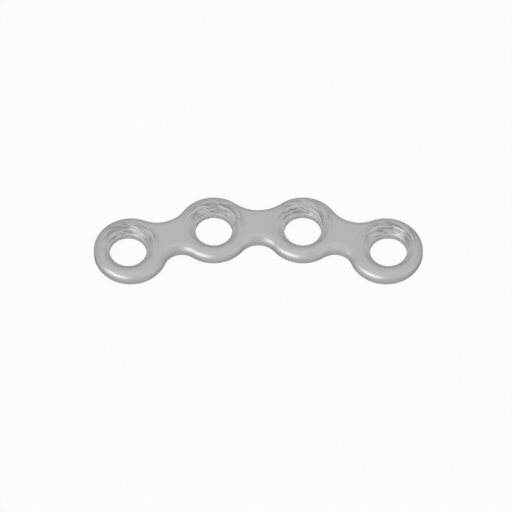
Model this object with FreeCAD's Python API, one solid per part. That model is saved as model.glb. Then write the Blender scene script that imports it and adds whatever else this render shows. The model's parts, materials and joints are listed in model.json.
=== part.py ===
import FreeCAD, Part
import math
import os

# Curved four-hole mini bone plate, cut, drilled and polished from one sheet of titanium.
#
# Millimetres and degrees. X runs along the plate, Y across it towards its outer, bulging side,
# and Z up, away from the bone. The underside that lies on the bone is at Z = 0. The origin is
# under the middle of the plate's length and breadth.

HOLE_COUNT = 4
HOLE_PITCH = 6.0            # straight distance between the centres of two neighbouring holes
CURVE_RADIUS = 21.5         # of the arc, seen from above, that the hole centres lie on
PLATE_THICKNESS = 1.0

BORE_DIAMETER = 2.5         # clearance for the screw's shank
SEAT_BREADTH = 0.48         # of the countersink round the bore, seen from above
SEAT_ANGLE = 100.0          # included angle of the countersink's cone
RING_WALL = 0.76            # metal between the countersink's rim and the outside of the ring
END_RING_SETBACK = 0.18     # how far the ring of each end hole sits towards the middle of the plate
INNER_RING_SHIFT = 0.08     # how far the ring of each other hole sits towards the bulging side
WAIST_WIDTH = 2.53          # narrowest width of the web between two rings

TOP_EDGE_RADIUS = 0.5       # rounding of the plate's outer edge, top side
BONE_EDGE_RADIUS = 0.22     # rounding of the plate's outer edge, bone side
BORE_EDGE_RADIUS = 0.2      # rounding of each hole's edge on the bone side
SEAT_EDGE_RADIUS = 0.15     # rounding of the countersink's rim

SAME_LENGTH = 1e-6          # lengths closer than this are the same length
UP = FreeCAD.Vector(0, 0, 1)
OUTER_SIDE = 1
INNER_SIDE = -1

bore_radius = BORE_DIAMETER / 2
seat_radius = bore_radius + SEAT_BREADTH
ring_radius = seat_radius + RING_WALL
half_turn = math.asin(HOLE_PITCH / 2 / CURVE_RADIUS)  # half the turn from one hole to the next


def hole_centres():
    """The hole centres from left to right, with the middle of their arc at zero."""
    centres = []
    for i in range(HOLE_COUNT):
        angle = (2 * i - (HOLE_COUNT - 1)) * half_turn
        x = CURVE_RADIUS * math.sin(angle)
        y = CURVE_RADIUS * (math.cos(angle) - 1)
        centres.append(FreeCAD.Vector(x, y, 0))
    return centres


def ring_centres():
    """The centres of the round outlines about the holes, each a little off its hole."""
    holes = hole_centres()
    arc_centre = FreeCAD.Vector(0, -CURVE_RADIUS, 0)
    rings = [towards(hole, arc_centre, -INNER_RING_SHIFT) for hole in holes]
    rings[0] = towards(holes[0], holes[1], END_RING_SETBACK)
    rings[-1] = towards(holes[-1], holes[-2], END_RING_SETBACK)
    return rings


def towards(start, end, distance):
    """The point at that distance from start on the way to end."""
    return start + (end - start).normalize() * distance


def hollow(left, right, side):
    """Centre of the arc between two rings on one side: it touches both and leaves the waist's width."""
    half_gap = (right - left).Length / 2
    bulge = CURVE_RADIUS - math.sqrt(CURVE_RADIUS**2 - half_gap**2)
    waist = WAIST_WIDTH / 2 + side * bulge
    radius = (half_gap**2 + waist**2 - ring_radius**2) / (2 * (ring_radius - waist))
    outwards = UP.cross(right - left).normalize() * side
    return (left + right) / 2 + outwards * (waist + radius)


def arc_about(centre, start, end, heading):
    """An arc from start to end about centre, whose middle lies that way from the centre."""
    radius = (start - centre).Length
    return Part.Arc(start, centre + FreeCAD.Vector(heading).normalize() * radius, end).toShape()


def outline():
    """The plate's outline, clockwise from the left end: the outer side, then the inner side back."""
    rings = ring_centres()
    there_and_back = rings + rings[-2:0:-1]
    stops = len(there_and_back)
    hollows = []
    for i, ring in enumerate(there_and_back):
        following = there_and_back[(i + 1) % stops]
        if i < HOLE_COUNT - 1:
            hollows.append(hollow(ring, following, OUTER_SIDE))
        else:
            hollows.append(hollow(following, ring, INNER_SIDE))
    edges = []
    for i, ring in enumerate(there_and_back):
        before, after = hollows[i - 1], hollows[i]
        arriving = towards(ring, before, ring_radius)
        leaving = towards(ring, after, ring_radius)
        sideways = UP.cross(leaving - arriving)
        edges.append(arc_about(ring, arriving, leaving, sideways))
        following = there_and_back[(i + 1) % stops]
        next_arriving = towards(following, after, ring_radius)
        edges.append(arc_about(after, leaving, next_arriving, (ring + following) / 2 - after))
    return Part.Wire(edges)


def flat_edges(solid, height):
    """The solid's edges that lie flat at that height."""
    return [
        edge
        for edge in solid.Edges
        if abs(edge.BoundBox.ZMin - height) < SAME_LENGTH and abs(edge.BoundBox.ZMax - height) < SAME_LENGTH
    ]


def blank():
    """The plate before it is drilled, with its outer edges rounded."""
    solid = Part.Face(outline()).extrude(UP * PLATE_THICKNESS)
    solid = solid.makeFillet(TOP_EDGE_RADIUS, flat_edges(solid, PLATE_THICKNESS))
    return solid.makeFillet(BONE_EDGE_RADIUS, flat_edges(solid, 0))


def hole_cutter(centre):
    """Bore and countersink in one, standing proud of both faces of the plate."""
    slope = math.tan(math.radians(SEAT_ANGLE / 2))
    seat_bottom = PLATE_THICKNESS - SEAT_BREADTH / slope
    proud = PLATE_THICKNESS / 2
    profile = [
        (0, -proud),
        (bore_radius, -proud),
        (bore_radius, seat_bottom),
        (seat_radius + proud * slope, PLATE_THICKNESS + proud),
        (0, PLATE_THICKNESS + proud),
    ]
    corners = [centre + FreeCAD.Vector(x, 0, z) for x, z in profile]
    face = Part.Face(Part.makePolygon(corners + corners[:1]))
    return face.revolve(centre, UP, 360)


def hole_rims(solid, height, radius):
    """The round edges of the holes at that height, of that radius."""
    rims = []
    for edge in flat_edges(solid, height):
        is_circle = edge.isClosed() and isinstance(edge.Curve, Part.Circle)
        if is_circle and abs(edge.Curve.Radius - radius) < SAME_LENGTH:
            rims.append(edge)
    return rims


def bone_plate():
    """The whole plate, in place: one solid."""
    solid = blank()
    for centre in hole_centres():
        solid = solid.cut(hole_cutter(centre))
    solid = solid.makeFillet(SEAT_EDGE_RADIUS, hole_rims(solid, PLATE_THICKNESS, seat_radius))
    solid = solid.makeFillet(BORE_EDGE_RADIUS, hole_rims(solid, 0, bore_radius))
    solid.translate(-outline().BoundBox.Center)
    return solid


def main():
    os.makedirs("parts", exist_ok=True)
    plate = bone_plate()
    plate.exportStep("parts/bone_plate.step")
    box = plate.optimalBoundingBox(False, False)
    print("valid", plate.isValid(), "solids", len(plate.Solids), "volume", round(plate.Volume, 3))
    for name, size in ("length", box.XLength), ("breadth", box.YLength), ("thickness", box.ZLength):
        print(name, round(size, 3))


main()
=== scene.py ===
"""A curved four-hole bone plate of polished titanium, on a plain pale floor."""

import json
import math

import bmesh
import bpy
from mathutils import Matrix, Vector


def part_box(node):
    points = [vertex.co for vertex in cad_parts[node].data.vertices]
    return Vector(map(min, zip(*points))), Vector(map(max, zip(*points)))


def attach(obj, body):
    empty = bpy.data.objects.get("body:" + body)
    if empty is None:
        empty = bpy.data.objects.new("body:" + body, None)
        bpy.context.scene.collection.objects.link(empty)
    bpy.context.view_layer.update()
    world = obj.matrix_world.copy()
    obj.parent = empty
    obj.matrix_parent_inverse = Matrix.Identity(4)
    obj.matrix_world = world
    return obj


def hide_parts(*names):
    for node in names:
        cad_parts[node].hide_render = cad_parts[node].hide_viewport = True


bl_info = {
    "name": "Curved Bone Plate",
    "version": (1, 0, 0),
    "blender": (4, 5, 0),
    "location": "3D View > Sidebar > Bone Plate",
    "description": "Models a small curved bone plate with countersunk screw holes, and its studio",
    "category": "Object",
}

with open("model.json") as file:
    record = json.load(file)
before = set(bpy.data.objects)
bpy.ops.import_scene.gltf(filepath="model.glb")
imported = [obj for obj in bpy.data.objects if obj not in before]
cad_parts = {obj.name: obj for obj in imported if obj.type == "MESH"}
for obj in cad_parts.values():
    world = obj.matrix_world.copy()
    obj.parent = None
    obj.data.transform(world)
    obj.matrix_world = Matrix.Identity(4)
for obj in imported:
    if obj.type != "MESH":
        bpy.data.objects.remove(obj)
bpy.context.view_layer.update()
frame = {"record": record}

PLATE = "bone_plate"
METRE = 1000.0               # millimetres; the plate is modelled in them and then brought to metres
SAME_PLACE = 1e-4            # millimetres; corners closer than this are one corner
UP = Vector((0, 0, 1))
OUTER_SIDE = 1
INNER_SIDE = -1
FULL_TURN = 2 * math.pi

# The holes' walls get a lighter colour as painted light, against the shade inside the holes.
TURNED = 1                   # the material of the holes' walls, after the polished one

# Noise patterns in the metal: how fine along X, Y and Z, how detailed and how distorted. In the
# last three, X and Y are the heading from a hole's axis, and Z is the reach from it plus the height.
SWELL = ((0.32, 0.32, 0.32), 1.0, 0.0)       # slow unevenness of the polish
HAZE = ((1.3, 1.3, 1.3), 3.0, 0.0)           # changes in its gloss
STROKES = ((0.7, 16.0, 16.0), 3.0, 0.3)      # fine lines along the plate
CHATTER = ((1.3, 1.3, 5.6), 1.5, 1.2)        # broken marks of the tools round a hole
CROSSING = ((1.6, 1.6, 8.0), 1.5, 1.0)       # marks that run across them
TURNING = ((0.5, 0.5, 15.0), 1.0, 0.0)       # the finest marks round a hole

SWELL_DEPTH = 0.006          # millimetres, as the depths below
STROKES_DEPTH = 0.00012
MARKS_DEPTH = 0.02
TURNING_DEPTH = 0.0015
HAZE_SHARE = 0.08            # how much roughness the haze adds at most

# A ramp's two ends are where it is nothing and where it is full. Reaches and levels are in millimetres.
# The marks' colours are painted shade and painted highlights, streaked round each hole and most on this
# side.
MARKS_AND_PAINTED_LIGHT_SIDE = (0.1, 0.995, 0.0)      # the side of each hole that its marks show most on
SIDE_RAMP = (0.0, 0.8)               # of the marks, by how well the heading agrees with that side
LEAST_MARKED = 0.12                  # share of the marks on the other side
MARKS_LEVEL = (0.05, 0.3)            # of the marks, above the underside
MARKS_APART = (3.0, 3.0, 0.0)        # how the marks' pattern moves on from hole to hole
CROSSING_TILT = -0.6                 # radians
CHATTER_SHARE = 0.45                 # of all marks; the others run across
# Painted shade darkens the marks' hollows, and painted highlights lighten their crests.
PAINTED_SHADE_HOLLOWS = (0.53, 0.43)               # values of the marks' pattern
PAINTED_HIGHLIGHT_CRESTS = (0.53, 0.62)
# The bore's colour is painted light: the bores are made lighter to make up for the shade in them.
PAINTED_LIGHT_BORE_LEVEL = (0.083, -0.017)         # of the bore's colour, above the countersink's foot
PAINTED_LIGHT_BORE_REACH = (0.35, 0.15)            # of the bore's colour, beyond the bore's radius
WEB_REACH = (-0.09, 0.51)            # of the webs' duller edges, beyond the ring's radius
WEB_LEVEL = (0.0, -0.12)             # of the webs' duller edges, above the top face

PHOTO_SIDE = 512             # pixels, of the square photograph
PHOTO_SCALE = 14836.0        # pixels to a metre of the plate's length
PHOTO_CENTRE_X = 258.3       # pixel that the middle of the underside's box falls on
PHOTO_CENTRE_Y = 244.1

FLOOR_RADIUS = 2.0           # metres
FLOOR_SIDES = 96
FLOOR_GAP = 0.00001          # metres, so that the underside and the floor don't coincide


def length(name, description, millimetres):
    """A size of the plate that a user can change, shown as a length."""
    return bpy.props.FloatProperty(
        name=name, description=description, default=millimetres / METRE,
        min=0.0, precision=6, subtype="DISTANCE", unit="LENGTH",
    )


def colour(name, description, grey):
    """A colour that a user can change."""
    return bpy.props.FloatVectorProperty(
        name=name, description=description, default=grey, size=3, min=0.0, max=1.0, subtype="COLOR",
    )


def amount(name, description, value, high=1.0):
    """A plain number that a user can change."""
    return bpy.props.FloatProperty(name=name, description=description, default=value, min=0.0, max=high)


def angle(name, description, degrees):
    """An angle that a user can change."""
    return bpy.props.FloatProperty(
        name=name, description=description, default=math.radians(degrees), subtype="ANGLE", unit="ROTATION",
    )


def distance(name, description, metres):
    """A distance in the studio that a user can change."""
    return bpy.props.FloatProperty(
        name=name, description=description, default=metres, min=0.01, subtype="DISTANCE", unit="LENGTH",
    )


def power(name, description, watts):
    """A lamp's power that a user can change."""
    return bpy.props.FloatProperty(name=name, description=description, default=watts, min=0.0, unit="POWER")


class PlateSizes(bpy.types.PropertyGroup):
    """The plate's sizes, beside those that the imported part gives."""

    curve_radius: length("Curve radius", "Radius of the arc that the hole centres lie on", 21.5)
    ring_radius: length("Ring radius", "Outside radius of the ring about each hole", 2.49)
    end_setback: length("End setback", "How far the end rings sit inwards of their holes", 0.18)
    inner_shift: length("Inner shift", "How far the other rings sit towards the bulging side", 0.08)
    waist_width: length("Waist width", "Narrowest width of the web between two rings", 2.53)
    seat_breadth: length("Seat breadth", "Breadth of the countersink, seen from above", 0.48)
    seat_angle: angle("Seat angle", "Included angle of the countersink's cone", 100.0)
    top_edge: length("Top edge", "Rounding of the outer edge, top side", 0.5)
    bone_edge: length("Bone edge", "Rounding of the outer edge, bone side", 0.22)
    bore_edge: length("Bore edge", "Rounding of each hole's edge on the bone side", 0.2)
    seat_edge: length("Seat edge", "Rounding of the countersink's rim", 0.15)
    seat_foot: length("Seat foot", "Rounding where the countersink meets the bore", 0.05)
    turning_pitch: length("Turning pitch", "Distance between two turning marks in a countersink", 0.16)
    turning_depth: length("Turning depth", "Depth of the turning marks", 0.004)


class FinishSettings(bpy.types.PropertyGroup):
    """The colours and gloss of the polished metal, with painted light and shade in and round its holes."""

    metal: colour("Metal", "Colour of the polished titanium", (0.64, 0.643, 0.641))
    # Painted light: the turned walls of the holes are lighter than the polished metal, to make up for the
    # shade inside the holes.
    turned_metal_painted_light: colour("Turned metal", "Colour of the turned countersinks", (0.81, 0.813, 0.811))
    # Painted light: the bores are lighter still, to make up for the shade in them.
    bore_metal_painted_light: colour("Reamed metal", "Colour of the bores", (0.76, 0.763, 0.761))
    # Painted shade and highlights round the holes: a darker marked ground, darker hollows and lighter
    # crests, which stand in for streaky reflections.
    marked_metal_painted_shade: colour("Marked metal", "Colour between the marks of the tools", (0.6, 0.604, 0.6))
    marks_hollow_painted_shade: colour("Deep metal", "Colour in the hollows of the marks", (0.36, 0.362, 0.364))
    marks_crest_painted_highlight: colour("Burnished metal", "Colour on the crests of the marks", (0.74, 0.744, 0.74))
    edge_tint: colour("Edge tint", "Tint of polished faces at a glancing angle", (0.28, 0.28, 0.28))
    turned_tint: colour("Turned edge tint", "Tint of turned faces at a glancing angle", (0.66, 0.66, 0.66))
    roughness: amount("Roughness", "Roughness of the polished rings", 0.38)
    web_dullness: amount("Web dullness", "How much rougher the edges of the webs are than the rings", 0.32)
    marks_end: length("End of the marks", "How far from a hole's axis its marks have faded out", 2.4)
    marks_fade: length("Fading of the marks", "How far from a hole's axis its marks begin to fade", 1.7)


class StudioSettings(bpy.types.PropertyGroup):
    """Floor, room light, lamps and camera."""

    floor: colour("Floor", "Colour of the floor", (0.8, 0.8, 0.8))
    floor_glow: amount("Floor glow", "Share of the floor's own white in the picture", 0.94)
    floor_shine: amount("Floor shine", "Share of the floor's own white in reflections", 0.08)
    horizon: colour("Horizon", "Light of the room at the height of the floor", (0.63, 0.63, 0.63))
    zenith: colour("Ceiling", "Light of the room from straight above", (0.87, 0.87, 0.87))
    rise: amount("Rise", "How much nearer the ceiling than the horizon the room gets light", 4.5, 8.0)
    key_power: power("Key lamp", "Power of the panel on the left", 0.77)
    key_azimuth: angle("Key direction", "How far to the left of the camera the left panel stands", 39.0)
    fill_power: power("Fill lamp", "Power of the panel on the right", 0.15)
    fill_azimuth: angle("Fill direction", "How far to the left the right panel stands, so below zero", -55.0)
    panel_distance: distance("Panel distance", "From each panel to the plate", 0.5)
    panel_width: distance("Panel width", "Width of each panel", 0.52)
    panel_height: distance("Panel height", "Height of each panel, which stands on the floor", 0.33)
    elevation: angle("Elevation", "Angle of the camera above the floor", 57.0)
    distance: distance("Distance", "From the camera to the plate", 0.6)


class Wire:
    """A shader socket that takes part in Python's arithmetic: each operator adds the Math node for it."""

    def __init__(self, socket):
        self.socket = socket

    def math(self, operation, left, right):
        """The Math node of that operation on two values or wires, this one among them."""
        tree = self.socket.id_data
        node = add_node(tree, "ShaderNodeMath", {"operation": operation}, {0: left, 1: right})
        return Wire(node.outputs[0])

    def __add__(self, other):
        return self.math("ADD", self, other)

    def __radd__(self, other):
        return self.math("ADD", other, self)

    def __mul__(self, other):
        return self.math("MULTIPLY", self, other)

    def __rmul__(self, other):
        return self.math("MULTIPLY", other, self)

    def __pow__(self, other):
        return self.math("POWER", self, other)

    def __rpow__(self, other):
        return self.math("POWER", other, self)

    def either(self, other):
        """The larger of the two."""
        return self.math("MAXIMUM", self, other)

    def ramp(self, none, full):
        """0 on one side of none, 1 on the other side of full, and smooth between them."""
        settings = {"interpolation_type": "SMOOTHSTEP"}
        values = {"Value": self, "From Min": none, "From Max": full}
        return Wire(add_node(self.socket.id_data, "ShaderNodeMapRange", settings, values).outputs[0])


def add_node(tree, kind, settings=None, values=None):
    """A node of that kind: its settings are set first, then its sockets get their values or links."""
    node = tree.nodes.new(kind)
    for name, setting in (settings or {}).items():
        setattr(node, name, setting)
    for name, value in (values or {}).items():
        socket = node.inputs[name]
        if isinstance(value, Wire):
            tree.links.new(value.socket, socket)
        else:
            socket.default_value = value
    return node


def empty_material(name):
    """A material with no nodes yet."""
    material = bpy.data.materials.new(name)
    material.use_nodes = True
    material.node_tree.nodes.clear()
    return material


def vector_math(tree, operation, left, right=(0.0, 0.0, 0.0), output="Vector"):
    """The Vector Math node of that operation."""
    node = add_node(tree, "ShaderNodeVectorMath", {"operation": operation}, {0: left, 1: right})
    return Wire(node.outputs[output])


def stretched(tree, vector, factors):
    """The vector with each axis scaled by its own factor."""
    return vector_math(tree, "MULTIPLY", vector, factors)


def noise(tree, vector, fineness, detail, distortion):
    """A noise pattern, about 0 to 1, over a vector."""
    over = stretched(tree, vector, fineness)
    values = {"Vector": over, "Scale": 1.0, "Detail": detail, "Distortion": distortion}
    return Wire(add_node(tree, "ShaderNodeTexNoise", None, values).outputs["Fac"])


def along_axis(tree, vector, axis):
    """The vector's part along X, Y or Z."""
    return Wire(add_node(tree, "ShaderNodeSeparateXYZ", None, {0: vector}).outputs[axis])


def tilted(tree, vector, radians):
    """The vector turned about Y."""
    values = {"Vector": vector, "Angle": radians}
    return Wire(add_node(tree, "ShaderNodeVectorRotate", {"rotation_type": "Y_AXIS"}, values).outputs[0])


def blend_colours(tree, share, low, high):
    """From the colour low, where share is 0, to high, where it is 1."""
    node = add_node(tree, "ShaderNodeMix", {"data_type": "RGBA"}, {"Factor": share, 6: low, 7: high})
    return Wire(node.outputs[2])


def opaque(rgb):
    """The colour with a fourth value, as shader sockets take it."""
    return (*rgb, 1.0)


def nearest_hole(tree, spot):
    """The centre of the hole that each spot along the plate belongs to."""
    along = along_axis(tree, spot, "X")
    centres = hole_centres()
    nearest = centres[0]
    for left, right in zip(centres, centres[1:]):
        passed = along.math("GREATER_THAN", along, (left.x + right.x) / 2)
        values = {"Factor": passed, 4: nearest, 5: right}
        nearest = Wire(add_node(tree, "ShaderNodeMix", {"data_type": "VECTOR"}, values).outputs[1])
    return nearest


class Place:
    """Where a spot of the metal lies, in millimetres and as seen from its hole, in a material's tree."""

    def __init__(self, tree):
        coordinates = Wire(add_node(tree, "ShaderNodeTexCoord").outputs["Object"])
        self.spot = stretched(tree, coordinates, (METRE, METRE, METRE))
        self.level = along_axis(tree, self.spot, "Z")
        hole = nearest_hole(tree, self.spot)
        arm = stretched(tree, vector_math(tree, "SUBTRACT", self.spot, hole), (1.0, 1.0, 0.0))
        self.reach = vector_math(tree, "LENGTH", arm, output="Value")
        self.heading = vector_math(tree, "NORMALIZE", arm)
        along = add_node(tree, "ShaderNodeCombineXYZ", None, {"Z": self.reach + self.level})
        round_hole = vector_math(tree, "ADD", self.heading, Wire(along.outputs[0]))
        self.lathe = vector_math(tree, "ADD", round_hole, stretched(tree, hole, MARKS_APART))


def marks_and_painted_light_share(tree, place, finish):
    """How strongly the tools' marks and their painted shade and highlights lie on each spot: most on one
    side of each hole, and least far from it.
    """
    agreement = vector_math(tree, "DOT_PRODUCT", place.heading, MARKS_AND_PAINTED_LIGHT_SIDE, output="Value")
    side = agreement.ramp(*SIDE_RAMP) * (1 - LEAST_MARKED) + LEAST_MARKED
    near = place.reach.ramp(finish.marks_end * METRE, finish.marks_fade * METRE)
    return side * near * place.level.ramp(*MARKS_LEVEL)


def titanium(name, maker, finish, metal, tint):
    """Metal of that colour with faint polishing lines, and marks of the tools round and in each hole, with
    painted shade in their hollows, painted highlights on their crests and painted light in the bores.
    """
    material = empty_material(name)
    tree = material.node_tree
    place = Place(tree)
    marks_and_painted_light = marks_and_painted_light_share(tree, place, finish)
    chatter = noise(tree, place.lathe, *CHATTER)
    crossing = noise(tree, tilted(tree, place.lathe, CROSSING_TILT), *CROSSING)
    marks = chatter * CHATTER_SHARE + crossing * (1 - CHATTER_SHARE)

    polish = noise(tree, place.spot, *SWELL) * SWELL_DEPTH
    polish = polish + noise(tree, place.spot, *STROKES) * STROKES_DEPTH
    cuts = marks * MARKS_DEPTH + noise(tree, place.lathe, *TURNING) * TURNING_DEPTH
    relief = {"Strength": 1.0, "Distance": 1 / METRE, "Height": polish + marks_and_painted_light * cuts}
    normal = Wire(add_node(tree, "ShaderNodeBump", None, relief).outputs[0])

    # Painted light in the bores: their walls get the lighter bore colour.
    bore_painted_light = place.level.ramp(*(maker.seat_bottom + end for end in PAINTED_LIGHT_BORE_LEVEL))
    bore_painted_light = bore_painted_light * place.reach.ramp(*(maker.bore_radius + end for end in PAINTED_LIGHT_BORE_REACH))
    # Painted shade and highlights: the marked ground is darker, the marks' hollows darker still and their
    # crests lighter.
    base = blend_colours(tree, marks_and_painted_light, opaque(metal), opaque(finish.marked_metal_painted_shade))
    base = blend_colours(tree, marks_and_painted_light * marks.ramp(*PAINTED_SHADE_HOLLOWS), base, opaque(finish.marks_hollow_painted_shade))
    base = blend_colours(tree, marks_and_painted_light * marks.ramp(*PAINTED_HIGHLIGHT_CRESTS), base, opaque(finish.marks_crest_painted_highlight))
    base = blend_colours(tree, bore_painted_light, base, opaque(finish.bore_metal_painted_light))

    web_edge = place.reach.ramp(*(maker.ring_radius + end for end in WEB_REACH))
    web_edge = web_edge * place.level.ramp(*(maker.thickness + end for end in WEB_LEVEL))
    haze = noise(tree, place.spot, *HAZE) * HAZE_SHARE
    surface = add_node(tree, "ShaderNodeBsdfPrincipled", None, {
        "Base Color": base,
        "Metallic": 1.0,
        "Roughness": finish.roughness + haze + web_edge * finish.web_dullness,
        "Specular Tint": opaque(tint),
        "Normal": normal,
    })
    add_node(tree, "ShaderNodeOutputMaterial", None, {"Surface": Wire(surface.outputs[0])})
    return material


def white_floor(studio):
    """Plain matt floor: the camera sees it nearly white, and reflections a little whiter than it is."""
    material = empty_material("white_floor")
    tree = material.node_tree
    matt = add_node(tree, "ShaderNodeBsdfDiffuse", None, {"Color": opaque(studio.floor)})
    glow = add_node(tree, "ShaderNodeEmission", None, {"Color": opaque((1.0, 1.0, 1.0)), "Strength": 1.0})
    path = add_node(tree, "ShaderNodeLightPath")
    seen = Wire(path.outputs["Is Camera Ray"]).either(Wire(path.outputs["Is Transmission Ray"]))
    mirrored = Wire(path.outputs["Is Glossy Ray"])
    surface = add_node(tree, "ShaderNodeMixShader", None, {
        "Fac": (seen * studio.floor_glow).either(mirrored * studio.floor_shine),
        1: Wire(matt.outputs[0]),
        2: Wire(glow.outputs[0]),
    })
    add_node(tree, "ShaderNodeOutputMaterial", None, {"Surface": Wire(surface.outputs[0])})
    return material


def hole_mounts():
    """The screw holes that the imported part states, from left to right."""
    mounts = [m for m in frame["record"]["mounts"] if m["kind"] == "bore"]
    return sorted(mounts, key=lambda mount: mount["pos_m"][0])


def hole_centres():
    """The hole centres from left to right, on the underside, in millimetres."""
    return [Vector((m["pos_m"][0], m["pos_m"][1], 0)) * METRE for m in hole_mounts()]


def towards(start, end, distance):
    """The point at that distance from start on the way to end."""
    return start + (end - start).normalized() * distance


def arc_points(centre, radius, start, end, steps):
    """Corners of an arc in a profile, in order, between two angles."""
    return [
        centre + radius * Vector((math.cos(heading), math.sin(heading)))
        for heading in (start + (end - start) * i / steps for i in range(steps + 1))
    ]


class PlateMaker:
    """Models the plate in a bmesh, in millimetres, with its underside at zero."""

    outline_step = 0.09      # distance between two corners of the outline
    edge_steps = 9           # faces across a rounded outer edge
    rim_steps = 7            # faces across the rounded rim of a countersink
    foot_steps = 4           # faces across the rounding where a countersink meets its bore
    steps_per_mark = 6       # faces across one turning mark
    hole_steps = 144         # faces round a hole
    lip = 0.008              # flat strip beside each rounding, so that the flat faces shade flat

    def __init__(self, sizes):
        self.sizes = sizes
        self.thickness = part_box(PLATE)[1].z * METRE
        self.bore_radius = hole_mounts()[0]["dims"]["r_mm"]
        self.holes = hole_centres()
        self.ring_radius = sizes.ring_radius * METRE
        self.seat_radius = self.bore_radius + sizes.seat_breadth * METRE
        self.seat_slope = math.pi / 2 - sizes.seat_angle / 2
        self.seat_bottom = self.thickness - sizes.seat_breadth * METRE * math.tan(self.seat_slope)

    def rings(self):
        """The centres of the round outlines about the holes, each a little off its hole."""
        inner = self.holes[1]
        radius = self.sizes.curve_radius * METRE
        arc_centre = Vector((0, inner.y - math.sqrt(radius**2 - inner.x**2), 0))
        shift = self.sizes.inner_shift * METRE
        setback = self.sizes.end_setback * METRE
        rings = [towards(hole, arc_centre, -shift) for hole in self.holes]
        rings[0] = towards(self.holes[0], self.holes[1], setback)
        rings[-1] = towards(self.holes[-1], self.holes[-2], setback)
        return rings

    def hollow(self, left, right, side):
        """Centre of the arc between two rings: it touches both and leaves the waist's width."""
        curve_radius = self.sizes.curve_radius * METRE
        half_gap = (right - left).length / 2
        bulge = curve_radius - math.sqrt(curve_radius**2 - half_gap**2)
        waist = self.sizes.waist_width * METRE / 2 + side * bulge
        radius = (half_gap**2 + waist**2 - self.ring_radius**2) / (2 * (self.ring_radius - waist))
        outwards = UP.cross(right - left).normalized() * side
        return (left + right) / 2 + outwards * (waist + radius)

    def draw_arc(self, mesh, vertex, centre, end, turn):
        """Carries the outline on from a vertex to the end point, about the centre; turn is 1 or -1."""
        start = vertex.co - centre
        finish = end - centre
        sweep = math.atan2(start.cross(finish).z, start.dot(finish))
        if sweep * turn < 0:
            sweep += turn * FULL_TURN
        steps = max(2, round(abs(sweep) * start.length / self.outline_step))
        made = bmesh.ops.spin(
            mesh, geom=[vertex], cent=centre, axis=UP, angle=sweep, steps=steps, use_duplicate=False
        )
        return next(g for g in made["geom_last"] if isinstance(g, bmesh.types.BMVert))

    def draw_outline(self, mesh):
        """The plate's outline as one face, at the top of the bone side's rounding."""
        rings = self.rings()
        route = rings + rings[-2:0:-1]
        stops = len(route)
        hollows = []
        for i, ring in enumerate(route):
            following = route[(i + 1) % stops]
            if i < len(rings) - 1:
                hollows.append(self.hollow(ring, following, OUTER_SIDE))
            else:
                hollows.append(self.hollow(following, ring, INNER_SIDE))
        vertex = mesh.verts.new(towards(route[0], hollows[-1], self.ring_radius))
        for i, ring in enumerate(route):
            following = route[(i + 1) % stops]
            leaving = towards(ring, hollows[i], self.ring_radius)
            arriving = towards(following, hollows[i], self.ring_radius)
            vertex = self.draw_arc(mesh, vertex, ring, leaving, -1)
            vertex = self.draw_arc(mesh, vertex, hollows[i], arriving, 1)
        bmesh.ops.remove_doubles(mesh, verts=mesh.verts[:], dist=SAME_PLACE)
        face = bmesh.ops.contextual_create(mesh, geom=mesh.edges[:])["faces"][0]
        bmesh.ops.translate(mesh, verts=mesh.verts[:], vec=UP * self.sizes.bone_edge * METRE)
        return face

    def round_off(self, mesh, cap, radius):
        """Rounds a flat cap's edge by insets, leaves a flat lip inside it and takes the cap away."""
        for i in range(self.edge_steps):
            before, after = (math.pi / 2 * k / self.edge_steps for k in (i, i + 1))
            bmesh.ops.inset_region(
                mesh, faces=[cap], use_boundary=True, use_even_offset=True,
                thickness=radius * (math.cos(before) - math.cos(after)),
                depth=radius * (math.sin(after) - math.sin(before)),
            )
        bmesh.ops.inset_region(
            mesh, faces=[cap], use_boundary=True, use_even_offset=True, thickness=self.lip
        )
        bmesh.ops.delete(mesh, geom=[cap], context="FACES_ONLY")

    def make_rim(self):
        """The plate's outer side with its two roundings, open above and below."""
        mesh = bmesh.new()
        bone_cap = self.draw_outline(mesh)
        bone_edge = self.sizes.bone_edge * METRE
        top_edge = self.sizes.top_edge * METRE
        made = bmesh.ops.extrude_face_region(mesh, geom=[bone_cap], use_keep_orig=True)["geom"]
        top_cap = next(g for g in made if isinstance(g, bmesh.types.BMFace))
        top_verts = [g for g in made if isinstance(g, bmesh.types.BMVert)]
        height = self.thickness - top_edge - bone_edge
        bmesh.ops.translate(mesh, verts=top_verts, vec=UP * height)
        for cap, outwards, radius in ((bone_cap, -UP, bone_edge), (top_cap, UP, top_edge)):
            cap.normal_update()
            if cap.normal.dot(outwards) < 0:
                cap.normal_flip()
            self.round_off(mesh, cap, radius)
        return mesh

    def hole_profile(self):
        """Radius and height along a hole's wall, from the lip on the top face to that on the bone side."""
        seat_edge = self.sizes.seat_edge * METRE
        bore_edge = self.sizes.bore_edge * METRE
        foot = self.sizes.seat_foot * METRE
        slope = self.seat_slope
        quarter = math.pi / 2
        rim_shift = seat_edge * math.tan(slope / 2)
        rim_centre = Vector((self.seat_radius + rim_shift, self.thickness - seat_edge))
        foot_depth = foot * math.tan((quarter - slope) / 2)
        foot_centre = Vector((self.bore_radius + foot, self.seat_bottom - foot_depth))
        bore_end = Vector((self.bore_radius + bore_edge, bore_edge))
        rim = arc_points(rim_centre, seat_edge, quarter, quarter + slope, self.rim_steps)
        seat_foot = arc_points(foot_centre, foot, quarter + slope, math.pi, self.foot_steps)
        bore_foot = arc_points(bore_end, bore_edge, math.pi, 3 * quarter, self.edge_steps)
        lip = Vector((self.lip, 0))
        seat = rim + self.turned_seat(rim[-1], seat_foot[0]) + seat_foot
        return [rim[0] + lip] + seat + bore_foot + [bore_foot[-1] + lip]

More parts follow.
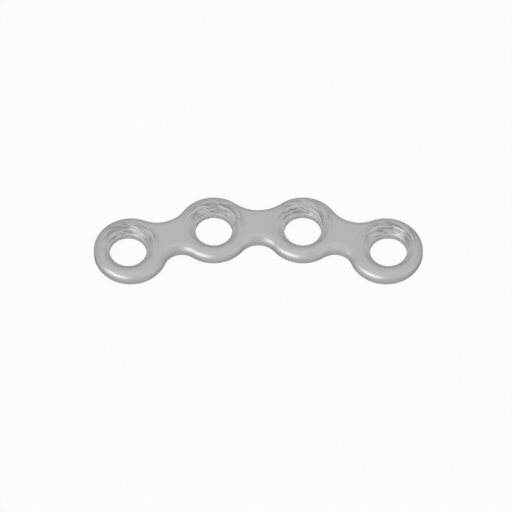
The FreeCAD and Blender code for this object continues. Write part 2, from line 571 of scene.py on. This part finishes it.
    def turned_seat(self, start, end):
        """Corners between the two ends of the seat's slope, with its turning marks cut in."""
        pitch = self.sizes.turning_pitch * METRE
        depth = self.sizes.turning_depth * METRE
        slant = end - start
        into_metal = Vector((-slant.y, slant.x)).normalized()
        rows = round(slant.length / pitch * self.steps_per_mark)
        points = []
        for i in range(1, rows):
            groove = 0.5 - 0.5 * math.cos(FULL_TURN * slant.length * i / rows / pitch)
            points.append(start.lerp(end, i / rows) + into_metal * depth * groove)
        return points

    def make_holes(self):
        """The walls of all holes: the first is turned about its axis, and the others are its copies."""
        mesh = bmesh.new()
        first = self.holes[0]
        verts = [mesh.verts.new(first + Vector((p.x, 0, p.y))) for p in self.hole_profile()]
        edges = [mesh.edges.new(pair) for pair in zip(verts, verts[1:])]
        bmesh.ops.spin(
            mesh, geom=verts + edges, cent=first, axis=UP, angle=FULL_TURN,
            steps=self.hole_steps, use_merge=True, use_duplicate=False,
        )
        wall = mesh.verts[:] + mesh.edges[:] + mesh.faces[:]
        for face in mesh.faces:
            middle = face.calc_center_median()
            if (middle - first).xy.length < self.seat_radius and middle.z > SAME_PLACE:
                face.material_index = TURNED
        for centre in self.holes[1:]:
            copied = bmesh.ops.duplicate(mesh, geom=wall)["geom"]
            verts = [g for g in copied if isinstance(g, bmesh.types.BMVert)]
            bmesh.ops.translate(mesh, verts=verts, vec=centre - first)
        return mesh

    def close_face(self, mesh, height):
        """Fills the flat face at that height, between the outline and the holes."""
        loops = [
            e for e in mesh.edges
            if e.is_boundary and all(abs(v.co.z - height) < SAME_PLACE for v in e.verts)
        ]
        bmesh.ops.triangle_fill(mesh, edges=loops, use_beauty=True, normal=UP)

    def make(self):
        """The whole plate, as a mesh in metres. Its parts are made apart, as a small bmesh is quick."""
        data = bpy.data.meshes.new("plate")
        rim = self.make_rim()
        rim.to_mesh(data)
        rim.free()
        mesh = self.make_holes()
        mesh.from_mesh(data)
        self.close_face(mesh, self.thickness)
        self.close_face(mesh, 0.0)
        bmesh.ops.remove_doubles(mesh, verts=mesh.verts[:], dist=SAME_PLACE)
        bmesh.ops.recalc_face_normals(mesh, faces=mesh.faces[:])
        for face in mesh.faces:
            face.smooth = True
        bmesh.ops.scale(mesh, verts=mesh.verts[:], vec=Vector((1, 1, 1)) / METRE)
        mesh.to_mesh(data)
        mesh.free()
        return data


class BONEPLATE_OT_plate(bpy.types.Operator):
    """Model the plate with its screw holes and give it its polished finish, with painted light and shade in
    and round the holes
    """

    bl_idname = "boneplate.plate"
    bl_label = "Make Plate"

    def execute(self, context):
        maker = PlateMaker(context.scene.plate_sizes)
        data = maker.make()
        plate = bpy.data.objects.new("plate", data)
        context.collection.objects.link(plate)
        finish = context.scene.plate_finish
        # Both materials carry painted light and shade in and round the holes; the turned one is lighter as
        # painted light.
        for name, metal, tint in (
            ("polished_titanium", finish.metal, finish.edge_tint),
            ("turned_titanium", finish.turned_metal_painted_light, finish.turned_tint),
        ):
            data.materials.append(titanium(name, maker, finish, metal, tint))
        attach(plate, "root")
        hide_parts(PLATE)
        return {"FINISHED"}


def stand_panel(studio, name, watts, azimuth):
    """A wide soft lamp on the floor that faces the plate, that far to the left of the camera."""
    data = bpy.data.lights.new(name, "AREA")
    data.shape = "RECTANGLE"
    data.size = studio.panel_width
    data.size_y = studio.panel_height
    data.energy = watts
    lamp = bpy.data.objects.new(name, data)
    away = Vector((-math.sin(azimuth), -math.cos(azimuth), 0))
    lamp.location = away * studio.panel_distance + UP * studio.panel_height / 2
    lamp.rotation_mode = "QUATERNION"
    lamp.rotation_quaternion = away.to_track_quat("Z", "Y")
    bpy.context.collection.objects.link(lamp)


def light_room(studio):
    """The room's light, which grows from the horizon to the ceiling."""
    world = bpy.data.worlds.new("room")
    bpy.context.scene.world = world
    world.use_nodes = True
    tree = world.node_tree
    tree.nodes.clear()
    direction = Wire(add_node(tree, "ShaderNodeTexCoord").outputs["Generated"])
    height = Wire(add_node(tree, "ShaderNodeSeparateXYZ", None, {0: direction}).outputs["Z"])
    share = height.either(0.0) ** studio.rise
    room = blend_colours(tree, share, opaque(studio.horizon), opaque(studio.zenith))
    background = add_node(tree, "ShaderNodeBackground", None, {"Color": room, "Strength": 1.0})
    add_node(tree, "ShaderNodeOutputWorld", None, {"Surface": Wire(background.outputs[0])})


def lay_floor(studio):
    """A round floor just under the plate."""
    mesh = bmesh.new()
    bmesh.ops.create_circle(mesh, cap_ends=True, segments=FLOOR_SIDES, radius=FLOOR_RADIUS)
    bmesh.ops.translate(mesh, verts=mesh.verts[:], vec=-UP * FLOOR_GAP)
    data = bpy.data.meshes.new("floor")
    mesh.to_mesh(data)
    mesh.free()
    floor = bpy.data.objects.new("floor", data)
    bpy.context.collection.objects.link(floor)
    data.materials.append(white_floor(studio))


def place_camera(studio):
    """A long lens at the photograph's angle, with the plate where the photograph has it."""
    back = Vector((0, -math.cos(studio.elevation), math.sin(studio.elevation)))
    aim = Vector((
        (PHOTO_SIDE / 2 - PHOTO_CENTRE_X) / PHOTO_SCALE,
        (PHOTO_CENTRE_Y - PHOTO_SIDE / 2) / PHOTO_SCALE / math.sin(studio.elevation),
        0,
    ))
    data = bpy.data.cameras.new("camera")
    data.lens = data.sensor_width * studio.distance * PHOTO_SCALE / PHOTO_SIDE
    camera = bpy.data.objects.new("camera", data)
    bpy.context.collection.objects.link(camera)
    camera.location = aim + back * studio.distance
    camera.rotation_mode = "QUATERNION"
    camera.rotation_quaternion = (-back).to_track_quat("-Z", "Y")
    bpy.context.scene.camera = camera


class BONEPLATE_OT_stage(bpy.types.Operator):
    """Lay the floor, set the lamps and the room's light, and place the camera"""

    bl_idname = "boneplate.stage"
    bl_label = "Make Studio"

    def execute(self, context):
        studio = context.scene.plate_studio
        lay_floor(studio)
        light_room(studio)
        stand_panel(studio, "key_lamp", studio.key_power, studio.key_azimuth)
        stand_panel(studio, "fill_lamp", studio.fill_power, studio.fill_azimuth)
        place_camera(studio)
        context.scene.view_settings.view_transform = "Standard"
        return {"FINISHED"}


class BONEPLATE_PT_panel(bpy.types.Panel):
    """Everything that can be set or made, in the sidebar"""

    bl_label = "Bone Plate"
    bl_idname = "BONEPLATE_PT_panel"
    bl_space_type = "VIEW_3D"
    bl_region_type = "UI"
    bl_category = "Bone Plate"

    def draw(self, context):
        scene = context.scene
        for group in (scene.plate_sizes, scene.plate_finish, scene.plate_studio):
            box = self.layout.box()
            for name in group.bl_rna.properties.keys():
                if name not in ("rna_type", "name"):
                    box.prop(group, name)
        self.layout.operator(BONEPLATE_OT_plate.bl_idname)
        self.layout.operator(BONEPLATE_OT_stage.bl_idname)


CLASSES = (
    PlateSizes, FinishSettings, StudioSettings, BONEPLATE_OT_plate, BONEPLATE_OT_stage, BONEPLATE_PT_panel,
)


def register():
    for each in CLASSES:
        bpy.utils.register_class(each)
    bpy.types.Scene.plate_sizes = bpy.props.PointerProperty(type=PlateSizes)
    bpy.types.Scene.plate_finish = bpy.props.PointerProperty(type=FinishSettings)
    bpy.types.Scene.plate_studio = bpy.props.PointerProperty(type=StudioSettings)


def unregister():
    del bpy.types.Scene.plate_studio
    del bpy.types.Scene.plate_finish
    del bpy.types.Scene.plate_sizes
    for each in reversed(CLASSES):
        bpy.utils.unregister_class(each)


def main():
    register()
    bpy.ops.boneplate.plate()
    bpy.ops.boneplate.stage()


if __name__ == "__main__":
    main()
